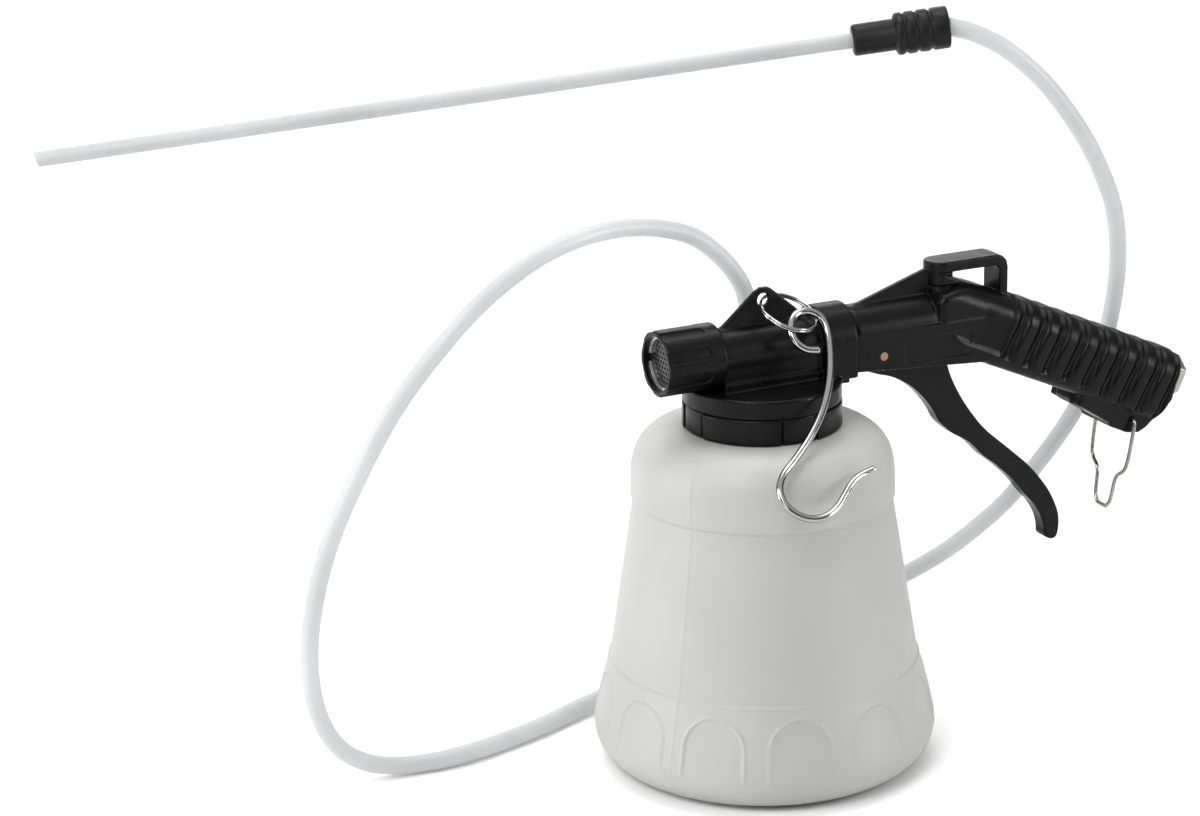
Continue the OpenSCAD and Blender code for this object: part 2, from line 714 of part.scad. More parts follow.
bottle();
bottle_gasket();
screw_collar();
head();
hose_spigot();
hose_nut();
drain_spout();
float_cage();
float_ball();
venturi_nozzle();
nozzle_o_ring();
venturi_throat();
silencer_cap();
silencer_foam();
silencer_grille();
retaining_ring();
gun_body();
trigger();
pivot_pin();
valve_guide();
valve_stem();
valve_seal();
valve_spring();
air_inlet();
inlet_washer();
inlet_filter();
trigger_lock();
split_ring();
hook();
hose();
hose_connector();
probe();
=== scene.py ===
"""Air-operated vacuum fluid extractor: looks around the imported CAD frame."""

import json
import math

import bpy
import numpy as np
from mathutils import Matrix, Vector


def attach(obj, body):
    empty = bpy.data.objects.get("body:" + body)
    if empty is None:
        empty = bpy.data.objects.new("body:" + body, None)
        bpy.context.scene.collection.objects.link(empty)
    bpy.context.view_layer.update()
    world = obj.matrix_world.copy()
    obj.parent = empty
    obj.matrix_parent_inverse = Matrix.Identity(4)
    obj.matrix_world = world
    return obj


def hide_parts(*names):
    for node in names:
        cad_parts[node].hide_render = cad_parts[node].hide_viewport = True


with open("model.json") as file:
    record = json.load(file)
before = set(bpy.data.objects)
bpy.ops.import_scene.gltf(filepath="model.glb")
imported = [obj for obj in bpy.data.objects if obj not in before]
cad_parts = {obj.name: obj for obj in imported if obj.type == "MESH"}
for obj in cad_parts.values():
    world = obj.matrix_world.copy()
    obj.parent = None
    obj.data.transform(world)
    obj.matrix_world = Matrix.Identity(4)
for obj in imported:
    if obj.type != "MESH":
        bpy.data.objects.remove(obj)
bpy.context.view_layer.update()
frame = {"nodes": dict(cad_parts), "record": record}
MM = 0.001


# ---------------------------------------------------------------- camera
def make_camera():
    data = bpy.data.cameras.new("camera")
    data.sensor_width = 36.0
    data.lens = 99.99
    data.clip_start = 0.02
    data.clip_end = 20.0
    cam = bpy.data.objects.new("camera", data)
    bpy.context.scene.collection.objects.link(cam)
    forward = Vector((0.4041, 0.8635, -0.3019)).normalized()
    up = Vector((0.1474, 0.2642, 0.9531))
    right = forward.cross(up).normalized()
    up = right.cross(forward)
    turn = Matrix((right, up, -forward)).transposed()
    place = (-0.5138, -0.9664, 0.4742)
    cam.matrix_world = Matrix.Translation(place) @ turn.to_4x4()
    bpy.context.scene.camera = cam


make_camera()


# ---------------------------------------------------------------- small maths
def smooth_path(points, steps):
    """Catmull-Rom curve through the points, steps per stretch."""
    p = [np.array(q, float) for q in points]
    out = []
    for i in range(len(p) - 1):
        a, b, c, d = p[max(i - 1, 0)], p[i], p[i + 1], p[min(i + 2, len(p) - 1)]
        for k in range(steps):
            t = k / steps
            out.append(0.5 * (2 * b + (c - a) * t + (2 * a - 5 * b + 4 * c - d) * t * t
                              + (3 * b - a - 3 * c + d) * t ** 3))
    out.append(p[-1])
    return np.array(out)


def mesh_piece(name, verts, faces, body, material, replaces):
    """A smooth-shaded piece from vertices in metres and faces, fixed to a body."""
    mesh = bpy.data.meshes.new(name)
    mesh.from_pydata([tuple(v) for v in verts], [], [tuple(f) for f in faces])
    mesh.validate()
    mesh.polygons.foreach_set("use_smooth", [True] * len(mesh.polygons))
    mesh.update()
    piece = bpy.data.objects.new(name, mesh)
    bpy.context.scene.collection.objects.link(piece)
    piece.data.materials.append(material)
    return settle(piece, body, replaces)


def settle(piece, body, replaces):
    """Fixes a piece to its body and hides the CAD nodes that it replaces."""
    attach(piece, body)
    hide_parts(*replaces)
    return piece


def sweep(path, radii, sides, normal):
    """Tube along a path; radii is a number or one radius per point. Closed at both ends."""
    path = np.array(path, float)
    n = len(path)
    radii = np.broadcast_to(np.array(radii, float), (n,))
    tangents = np.zeros_like(path)
    tangents[1:-1] = path[2:] - path[:-2]
    tangents[0], tangents[-1] = path[1] - path[0], path[-1] - path[-2]
    tangents /= np.linalg.norm(tangents, axis=1)[:, None]
    m = np.array(normal, float)
    verts = []
    for i in range(n):
        m = m - m.dot(tangents[i]) * tangents[i]
        m /= np.linalg.norm(m)
        b = np.cross(tangents[i], m)
        for s in range(sides):
            a = 2 * math.pi * s / sides
            verts.append(path[i] + radii[i] * (math.cos(a) * m + math.sin(a) * b))
    faces = []
    for i in range(n - 1):
        for s in range(sides):
            e = (s + 1) % sides
            faces.append((i * sides + s, i * sides + e, (i + 1) * sides + e, (i + 1) * sides + s))
    for ring, flip in ((0, True), (n - 1, False)):
        centre = len(verts)
        verts.append(path[ring])
        for s in range(sides):
            e = (s + 1) % sides
            a, b = ring * sides + s, ring * sides + e
            faces.append((b, a, centre) if flip else (a, b, centre))
    return np.array(verts), faces


def rounded_ends(path, r):
    """Adds points and radii so that a swept wire ends in small rounded edges."""
    steps = 4
    path = [np.array(p, float) for p in path]
    radii = [r] * len(path)
    edge = 0.35 * r
    for end in (0, -1):
        tip = path[end]
        inner = path[1] if end == 0 else path[-2]
        d = (tip - inner) / np.linalg.norm(tip - inner)
        for k in range(1, steps + 1):
            a = 0.5 * math.pi * k / steps
            p = tip + d * edge * math.sin(a)
            rr = r - edge + edge * math.cos(a)
            if end == 0:
                path.insert(0, p)
                radii.insert(0, rr)
            else:
                path.append(p)
                radii.append(rr)
    return np.array(path), np.array(radii)


def frame_to(direction):
    """Rotation that turns +Z onto a direction."""
    return np.array(Vector(direction).to_track_quat("Z", "Y").to_matrix())


def lathe(profile, sides, origin, axis):
    """Surface of revolution of a list of (radius, height), its ends on the axis or open."""
    turn = frame_to(axis)
    verts, faces, rings = [], [], []
    for r, z in profile:
        if r < 1e-6:
            rings.append([len(verts)])
            verts.append(turn @ np.array((0, 0, z)))
            continue
        rings.append(list(range(len(verts), len(verts) + sides)))
        for s in range(sides):
            a = 2 * math.pi * s / sides
            verts.append(turn @ np.array((r * math.cos(a), r * math.sin(a), z)))
    for a, b in zip(rings, rings[1:]):
        for s in range(sides):
            e = (s + 1) % sides
            if len(a) == 1:
                faces.append((a[0], b[e], b[s]))
            elif len(b) == 1:
                faces.append((a[s], a[e], b[0]))
            else:
                faces.append((a[s], a[e], b[e], b[s]))
    return np.array(verts) + np.array(origin), faces


# ---------------------------------------------------------------- solids from distance fields
class Field:
    """A box of grid points in millimetres, and distance functions on it."""

    def __init__(self, low, high, step):
        self.low, self.step = np.array(low, float), step
        counts = np.ceil((np.array(high) - self.low) / step).astype(int) + 1
        ax = [self.low[i] + step * np.arange(counts[i]) for i in range(3)]
        self.x = ax[0][:, None, None].astype(np.float32)
        self.y = ax[1][None, :, None].astype(np.float32)
        self.z = ax[2][None, None, :].astype(np.float32)

    def mesh(self, d):
        """Surface of d = 0 by surface nets, vertices in metres."""
        d = np.ascontiguousarray(np.broadcast_to(d, (self.x.shape[0], self.y.shape[1], self.z.shape[2])))
        inside = d < 0
        lowest = inside[:-1, :-1, :-1].astype(np.int8)
        total = lowest.copy()
        corners = [(i, j, k) for i in (0, 1) for j in (0, 1) for k in (0, 1)]
        n = np.array(d.shape) - 1
        for i, j, k in corners[1:]:
            total += inside[i:i + n[0], j:j + n[1], k:k + n[2]]
        cells = np.argwhere((total > 0) & (total < 8))
        index = np.full(tuple(n), -1, np.int32)
        index[tuple(cells.T)] = np.arange(len(cells))
        value = {c: d[cells[:, 0] + c[0], cells[:, 1] + c[1], cells[:, 2] + c[2]] for c in corners}
        place = np.zeros((len(cells), 3))
        hits = np.zeros(len(cells))
        for a in corners:
            for axis in range(3):
                if a[axis]:
                    continue
                b = tuple(1 if q == axis else a[q] for q in range(3))
                va, vb = value[a], value[b]
                cut = (va < 0) != (vb < 0)
                t = np.where(cut, va / np.where(cut, va - vb, 1), 0)
                for q in range(3):
                    place[:, q] += np.where(cut, a[q] + (t if q == axis else 0), 0)
                hits += cut
        verts = (self.low + self.step * (cells + place / hits[:, None])) * MM
        faces = []
        for axis in range(3):
            lead = [slice(1, -1)] * 3
            lead[axis] = slice(0, -1)
            here = inside[tuple(lead)]
            lead[axis] = slice(1, None)
            there = inside[tuple(lead)]
            u, v = (axis + 1) % 3, (axis + 2) % 3
            for sign in (True, False):
                at = np.argwhere((here != there) & (here == sign))
                for q in (u, v):
                    at[:, q] += 1
                quad = []
                for du, dv in ((-1, -1), (0, -1), (0, 0), (-1, 0)):
                    c = at.copy()
                    c[:, u] += du
                    c[:, v] += dv
                    quad.append(index[tuple(c.T)])
                quad = np.stack(quad if sign else quad[::-1], 1)
                faces.append(quad)
        faces = np.concatenate(faces)
        return verts, faces


def smin(a, b, k):
    h = np.clip(0.5 + 0.5 * (b - a) / k, 0, 1)
    return b + (a - b) * h - k * h * (1 - h)


def smax(a, b, k):
    return -smin(-a, -b, k)


def cross2(d, e, r):
    """Intersection of two slabs or sections, with an outer edge of radius r."""
    return np.minimum(np.maximum(d, e) + r, 0) + np.hypot(np.maximum(d + r, 0), np.maximum(e + r, 0)) - r


def outline(u, v, points):
    """Distance to a polygon in the plane of u and v, negative inside."""
    points = np.array(points, np.float32)
    best = np.full(np.broadcast(u, v).shape, 1e9, np.float32)
    inside = np.zeros(best.shape, bool)
    for a, b in zip(points, np.roll(points, -1, 0)):
        e = b - a
        wu, wv = u - a[0], v - a[1]
        t = np.clip((wu * e[0] + wv * e[1]) / float(e @ e + 1e-12), 0, 1)
        best = np.minimum(best, (wu - t * e[0]) ** 2 + (wv - t * e[1]) ** 2)
        if a[1] != b[1]:
            over = (a[1] <= v) != (b[1] <= v)
            inside ^= over & (u < a[0] + (v - a[1]) / (b[1] - a[1]) * e[0])
    return np.where(inside, -1, 1) * np.sqrt(best)


def slab(v, low, high):
    return np.maximum(low - v, v - high)


def field_piece(name, f, d, body, material, replaces):
    """The same from a distance field, whose mesh is large and made of quads only."""
    verts, faces = f.mesh(d)
    mesh = bpy.data.meshes.new(name)
    mesh.vertices.add(len(verts))
    mesh.vertices.foreach_set("co", verts.astype(np.float32).ravel())
    mesh.loops.add(faces.size)
    mesh.loops.foreach_set("vertex_index", faces.astype(np.int32).ravel())
    mesh.polygons.add(len(faces))
    mesh.polygons.foreach_set("loop_start", np.arange(0, faces.size, 4, dtype=np.int32))
    mesh.polygons.foreach_set("loop_total", np.full(len(faces), 4, np.int32))
    mesh.polygons.foreach_set("use_smooth", np.ones(len(faces), bool))
    mesh.update(calc_edges=True)
    mesh.validate()
    piece = bpy.data.objects.new(name, mesh)
    bpy.context.scene.collection.objects.link(piece)
    piece.data.materials.append(material)
    return settle(piece, body, replaces)


# ---------------------------------------------------------------- materials
def new_material(name):
    m = bpy.data.materials.new(name)
    m.use_nodes = True
    return m, m.node_tree.nodes, m.node_tree.links, m.node_tree.nodes["Principled BSDF"]


def noise_node(nodes, links, scale, detail):
    coords = nodes.new("ShaderNodeTexCoord")
    tex = nodes.new("ShaderNodeTexNoise")
    tex.inputs["Scale"].default_value = scale
    tex.inputs["Detail"].default_value = detail
    links.new(coords.outputs["Object"], tex.inputs["Vector"])
    return tex.outputs["Fac"]


NOISE_RANGE = (0.3, 0.7)


def ramp(nodes, links, source, low, high):
    """Maps a noise over NOISE_RANGE to low..high, which are numbers or colours."""
    start, end = NOISE_RANGE
    if isinstance(low, (int, float)):
        node = nodes.new("ShaderNodeMapRange")
        node.inputs["From Min"].default_value = start
        node.inputs["From Max"].default_value = end
        node.inputs["To Min"].default_value = low
        node.inputs["To Max"].default_value = high
        links.new(source, node.inputs["Value"])
        return node.outputs["Result"]
    node = nodes.new("ShaderNodeValToRGB")
    node.color_ramp.elements[0].position = start
    node.color_ramp.elements[1].position = end
    node.color_ramp.elements[0].color = (*low, 1)
    node.color_ramp.elements[1].color = (*high, 1)
    links.new(source, node.inputs["Fac"])
    return node.outputs["Color"]


def bump(nodes, links, source, distance, strength):
    node = nodes.new("ShaderNodeBump")
    node.inputs["Distance"].default_value = distance
    node.inputs["Strength"].default_value = strength
    links.new(source, node.inputs["Height"])
    return node.outputs["Normal"]


def plastic(name, low, high, rough, grain=0.00003, grain_scale=1800, specular=0.5):
    """Moulded plastic: faint colour drift, uneven gloss, fine grain."""
    m, nodes, links, shader = new_material(name)
    drift = noise_node(nodes, links, 60, 4)
    links.new(ramp(nodes, links, drift, low, high), shader.inputs["Base Color"])
    gloss = noise_node(nodes, links, 210, 5)
    links.new(ramp(nodes, links, gloss, rough - 0.06, rough + 0.08), shader.inputs["Roughness"])
    fine = noise_node(nodes, links, grain_scale, 2)
    links.new(bump(nodes, links, fine, grain, 0.6), shader.inputs["Normal"])
    shader.inputs["Specular IOR Level"].default_value = specular
    return m


def metal(name, low, high, rough, depth=0.000008):
    """Plated or brushed metal: faint colour drift and a finely uneven gloss."""
    m, nodes, links, shader = new_material(name)
    shader.inputs["Metallic"].default_value = 1
    drift = noise_node(nodes, links, 120, 4)
    links.new(ramp(nodes, links, drift, low, high), shader.inputs["Base Color"])
    gloss = noise_node(nodes, links, 500, 4)
    links.new(ramp(nodes, links, gloss, max(rough - 0.05, 0.03), rough + 0.08), shader.inputs["Roughness"])
    links.new(bump(nodes, links, gloss, depth, 0.5), shader.inputs["Normal"])
    return m


def translucent(name, colour, shade, rough, through, clear, grain=0.00004):
    """Milky plastic that scatters some light through and, where clear isn't 0, shows what is behind."""
    m, nodes, links, shader = new_material(name)
    drift = noise_node(nodes, links, 22, 4)
    tint = ramp(nodes, links, drift, shade, colour)
    links.new(tint, shader.inputs["Base Color"])
    gloss = noise_node(nodes, links, 160, 4)
    links.new(ramp(nodes, links, gloss, rough - 0.05, rough + 0.08), shader.inputs["Roughness"])
    fine = noise_node(nodes, links, 700, 3)
    normal = bump(nodes, links, fine, grain, 0.5)
    links.new(normal, shader.inputs["Normal"])
    glow = nodes.new("ShaderNodeBsdfTranslucent")
    links.new(tint, glow.inputs["Color"])
    mix = nodes.new("ShaderNodeMixShader")
    mix.inputs["Fac"].default_value = through
    links.new(shader.outputs["BSDF"], mix.inputs[1])
    links.new(glow.outputs["BSDF"], mix.inputs[2])
    out = nodes["Material Output"]
    last = mix
    if clear:
        window = nodes.new("ShaderNodeBsdfTransparent")
        links.new(tint, window.inputs["Color"])
        last = nodes.new("ShaderNodeMixShader")
        last.inputs["Fac"].default_value = clear
        links.new(mix.outputs["Shader"], last.inputs[1])
        links.new(window.outputs["BSDF"], last.inputs[2])
    links.new(last.outputs["Shader"], out.inputs["Surface"])
    return m


black = plastic("black_nylon", (0.0022, 0.0022, 0.0023), (0.0042, 0.0042, 0.0044), 0.32, specular=0.13)
rubber = plastic("black_rubber", (0.004, 0.004, 0.0042), (0.008, 0.008, 0.0084), 0.44, 0.00005, 1200, 0.17)
seal = plastic("soft_seal", (0.03, 0.03, 0.03), (0.05, 0.05, 0.05), 0.6, 0.00004, 1200)
foam = plastic("foam", (0.012, 0.012, 0.012), (0.03, 0.03, 0.028), 0.95, 0.0004, 900, 0.1)
grille = plastic("grille_black", (0.009, 0.009, 0.009), (0.016, 0.016, 0.016), 0.3, specular=0.4)
milky = translucent("bottle_plastic", (0.6, 0.6, 0.588), (0.56, 0.56, 0.548), 0.42, 0.3, 0.0)
cloudy = translucent("hose_plastic", (0.74, 0.745, 0.75), (0.66, 0.665, 0.67), 0.3, 0.45, 0.1, 0.00002)
chrome = metal("bright_steel", (0.3, 0.3, 0.3), (0.4, 0.4, 0.4), 0.08)
satin = metal("satin_steel", (0.8, 0.8, 0.8), (0.9, 0.9, 0.9), 0.4)
nickel = metal("nickel_fitting", (0.3, 0.28, 0.24), (0.42, 0.4, 0.35), 0.26)
spring_wire = metal("spring_wire", (0.2, 0.19, 0.18), (0.3, 0.285, 0.27), 0.2)
brass = metal("brass_parts", (0.66, 0.5, 0.24), (0.78, 0.62, 0.34), 0.28)
copper = metal("copper_pin", (0.26, 0.14, 0.1), (0.42, 0.25, 0.19), 0.34, depth=0.00005)
alloy = metal("bright_alloy", (0.62, 0.63, 0.64), (0.75, 0.76, 0.77), 0.3)

BY_SLOT = {
    "bottle_plastic": milky, "black_nylon": black, "black_rubber": rubber, "clear_tube": cloudy,
    "brass_parts": brass, "bright_alloy": alloy, "bright_steel": chrome, "nickel_fitting": nickel,
    "copper_pin": copper, "soft_seal": seal, "foam": foam,
}
for part in frame["record"]["subparts"]:
    node = frame["nodes"][part["node"]]
    node.data.materials.clear()
    node.data.materials.append(BY_SLOT[part["material_slot"]])
for name, special in (("silencer_grille", grille), ("retaining_ring", satin)):
    frame["nodes"][name].data.materials.clear()
    frame["nodes"][name].data.materials.append(special)

# ---------------------------------------------------------------- hose
HOSE_D = 6.35
HOSE_ROUTE = [
    (3, 15.5, 148.4), (3, 15.5, 156), (2, 16, 164), (-2, 17, 172), (-9, 18, 180), (-19, 18, 187),
    (-38, 15, 192.5), (-58, 11, 193.5), (-79, 7, 189.5), (-100, 5, 178.5), (-118, 4, 163.5),
    (-134, 6, 144), (-148, 10, 118), (-157, 15, 93), (-160, 24, 63), (-157, 31, 38),
    (-149, 36, 19), (-137, 39, 8), (-122, 39, 3.5), (-100, 38, 3.5), (-68, 47, 3.5),
    (-37, 60, 4), (-5, 67, 6), (25, 65, 12), (50, 55, 22), (72, 43, 34), (90, 32, 46.5),
    (104, 26, 58), (117, 22.5, 70), (135, 19, 92), (145, 17.5, 109), (151, 16, 126),
    (153.4, 13, 150), (151.2, 11.5, 172), (145.6, 12, 188.5), (137, 13.4, 205),
    (124.5, 15.8, 222.3), (110.5, 18.7, 235.8), (97.5, 21.8, 243.6), (88, 25, 246.5),
]
route = smooth_path(HOSE_ROUTE, 4)
curve = bpy.data.curves.new("hose_tube", "CURVE")
curve.dimensions = "3D"
curve.bevel_depth = HOSE_D / 2 * MM
curve.bevel_resolution = 6
curve.use_fill_caps = True
spline = curve.splines.new("POLY")
spline.points.add(len(route) - 1)
for point, place in zip(spline.points, route):
    point.co = (*(place * MM), 1)
spline.use_smooth = True
hose = bpy.data.objects.new("hose_tube", curve)
bpy.context.scene.collection.objects.link(hose)
hose.data.materials.append(cloudy)
settle(hose, "head", ("hose",))

# connector: ribbed sleeve on the hose, plain nose on the probe
PROBE_AXIS = (-0.917, 0.381, -0.116)
CONNECTOR = HOSE_ROUTE[-1]


def connector_profile():
    """Radius and height along the connector, in millimetres, starting inside its hose end."""
    p = [(3.2, 4), (3.2, 0.4), (3.6, 0.02), (6.8, 0.02), (7.1, 0.12), (7.35, 0.4), (7.45, 0.8)]
    for start, end in ((0.8, 6.0), (7.0, 10.8), (11.7, 15.1), (16.0, 18.6)):
        if start > 1:
            p += [(6.9, start - 0.05), (7.2, start + 0.1), (7.4, start + 0.35), (7.48, start + 0.8)]
        p += [(7.48, end - 0.8), (7.38, end - 0.35), (7.15, end - 0.1), (6.85, end + 0.05)]
    p += [(6.5, 18.9), (5.8, 19.1), (5.6, 19.5), (5.6, 32.6), (5.5, 33.4), (5.1, 33.85), (4.6, 34),
          (2.9, 34), (2.85, 33.4), (2.85, 22), (0, 22)]
    return p


verts, faces = lathe([(r * MM, z * MM) for r, z in connector_profile()], 48,
                     [c * MM for c in CONNECTOR], PROBE_AXIS)
connector = mesh_piece("connector_sleeve", verts, faces, "head", rubber, ("hose_connector",))

# ---------------------------------------------------------------- bottle
SEAM = math.radians(-150.4)


def bottle_outline():
    """Outer side of the bottle from the base's rim to the neck, as (radius, height)."""
    edge = 13.0
    pts = [(60 - edge + edge * math.cos(a), edge + edge * math.sin(a))
           for a in np.linspace(-math.pi / 2, math.radians(12), 26)]
    r0, z0 = pts[-1]
    for t in np.linspace(0, 1, 60)[1:]:
        pts.append((r0 + (54.5 - r0) * t, z0 + (37.5 - z0) * t))
    pts += [(54.35, 37.9), (54.0, 38.15), (53.9, 38.5)]
    for t in np.linspace(0, 1, 60)[1:]:
        pts.append((53.9 + (45.0 - 53.9) * t, 38.5 + (96.2 - 38.5) * t))
    pts += [(45.1, 96.5), (45.55, 96.8), (45.8, 97.2), (45.8, 98.6), (45.8, 100)]
    for a in np.radians(np.linspace(0, 90, 44)):
        pts.append((25 + 20.8 * math.cos(a) ** 0.7 if a < 1.5707 else 25.0,
                    101.2 + 20.3 * math.sin(a) ** 0.7))
    pts += [(24.0, 121.55), (23.2, 121.7), (22.6, 122.1), (22.3, 122.7)]
    for z in np.arange(123, 128.2, 0.25):
        thread = max(0.0, 1 - abs(z - 124) / 0.8, 1 - abs(z - 126.5) / 0.8)
        pts.append((22.2 + 0.9 * thread, z))
    pts += [(22.1, 128.1), (21.8, 128.2)]
    return np.array(pts)


def bottle_mesh():
    side = bottle_outline()
    around = 720
    theta = np.linspace(0, 2 * math.pi, around, endpoint=False)
    r = np.repeat(side[:, :1], around, 1)
    z = np.repeat(side[:, 1:], around, 1)
    # arch panels: sunk a little inside a raised line
    pitch = math.radians(30)
    centre = SEAM + pitch / 2
    off = (theta - centre + pitch / 2) % pitch - pitch / 2
    u = off[None, :] * 57.5
    half, top, foot = 10.9, 33.6, 11.0
    arch = np.where(z > top - half, np.hypot(u, z - (top - half)) - half, np.abs(u) - half)
    fade = np.clip((z - foot) / 4, 0, 1)
    line = 0.42 * np.exp(-(arch / 0.42) ** 2)
    sunk = -0.35 * np.clip(-(arch + 0.3) / 0.8, 0, 1)
    r = r + (line + sunk) * fade * (z < 37)
    # mould line up both sides, and soft rings
    for seam in (SEAM, SEAM + math.pi):
        gap = np.abs((theta - seam + math.pi) % (2 * math.pi) - math.pi)[None, :] * r
        r = r + 0.2 * np.exp(-(gap / 0.4) ** 2) * (z > 4) * (z < 121)
    for level, height, width in ((37.6, 0.25, 0.5), (96.9, 0.25, 0.6)):
        r = r + height * np.exp(-((z - level) / width) ** 2)
    n = len(side)
    grid = np.stack([r * np.cos(theta), r * np.sin(theta), z], -1) * MM
    verts = list(grid.reshape(-1, 3))
    faces = []
    for i in range(n - 1):
        for s in range(around):
            e = (s + 1) % around
            faces.append((i * around + s, i * around + e, (i + 1) * around + e, (i + 1) * around + s))
    # inner wall, coarser, from the lip down to the floor
    inner = [(20.7, 128.2), (20.5, 128), (20.5, 122.5), (23, 120.2), (24.5, 119.9)]
    for a in np.radians(np.linspace(80, 0, 14)):
        inner.append((24 + 20.2 * math.cos(a) ** 0.7, 100.4 + 19.3 * math.sin(a) ** 0.7))
    inner += [(44.2, 97.5), (43.4, 96), (52.3, 38.6), (52.9, 37.4), (57.9, 14)]
    for a in np.radians(np.linspace(0, -90, 10)):
        inner.append((47 + 11.2 * math.cos(a), 13 + 11.4 * math.sin(a)))
    inner.append((30, 1.7))
    step = 6
    lip = [(n - 1) * around + s for s in range(around)]
    count = around // step
    rings = []
    for ri, zi in inner:
        rings.append(len(verts))
        for s in range(count):
            a = theta[s * step]
            verts.append(np.array((ri * math.cos(a), ri * math.sin(a), zi)) * MM)
    for s in range(count):
        e = (s + 1) % count
        start = rings[0]
        fan = [lip[(s * step + k) % around] for k in range(step + 1)]
        for k in range(step):
            faces.append((fan[k], fan[k + 1], start + (s if k < step // 2 else e)))
        faces.append((start + s, fan[step // 2], start + e))
    for a, b in zip(rings, rings[1:]):
        for s in range(count):
            e = (s + 1) % count
            faces.append((a + s, a + e, b + e, b + s))
    centre_in = len(verts)
    verts.append(np.array((0, 0, 1.7)) * MM)
    for s in range(count):
        faces.append((rings[-1] + s, rings[-1] + (s + 1) % count, centre_in))
    centre_out = len(verts)
    verts.append(np.array((0, 0, 0.9)) * MM)
    # base: flat ring, then a shallow push-up
    rings = []
    for ri, zi in ((44, 0.0), (40, 0.05), (37, 0.5), (34, 0.85), (20, 0.9)):
        rings.append(len(verts))
        for s in range(around):
            a = theta[s]
            verts.append(np.array((ri * math.cos(a), ri * math.sin(a), zi)) * MM)
    chain = [0] + rings
    for a, b in zip(chain, chain[1:]):
        for s in range(around):
            e = (s + 1) % around
            faces.append((b + s, b + e, a + e, a + s))
    for s in range(around):
        faces.append((centre_out, rings[-1] + (s + 1) % around, rings[-1] + s))
    return verts, faces


verts, faces = bottle_mesh()
mesh_piece("bottle_shell", verts, faces, "bottle", milky, ("bottle",))

# ---------------------------------------------------------------- gun body
# Millimetres. The grip drops at 24 degrees from the knee; s runs along it and n across it, upwards.
AXIS_Z = 148.5
C24, S24 = math.cos(math.radians(24)), math.sin(math.radians(24))
KNEE = (80.6, AXIS_Z)
GRIP_END = 90.2
BAIL = (78.3, -15.2)  # s and n of the lock wire's axis
INLET_N = 3.5  # n of the air inlet's axis
PIVOT = (42, 142)  # x and z of the trigger's pin


def grip_section(y, n, half_w, half_h, top_r, low_r):
    """Distance to the grip's section across its axis: round over the top, squarer below."""
    radius = np.where(n > 0, top_r, low_r)
    ay, an = np.abs(y) - half_w + radius, np.abs(n) - half_h + radius
    return np.hypot(np.maximum(ay, 0), np.maximum(an, 0)) + np.minimum(np.maximum(ay, an), 0) - radius


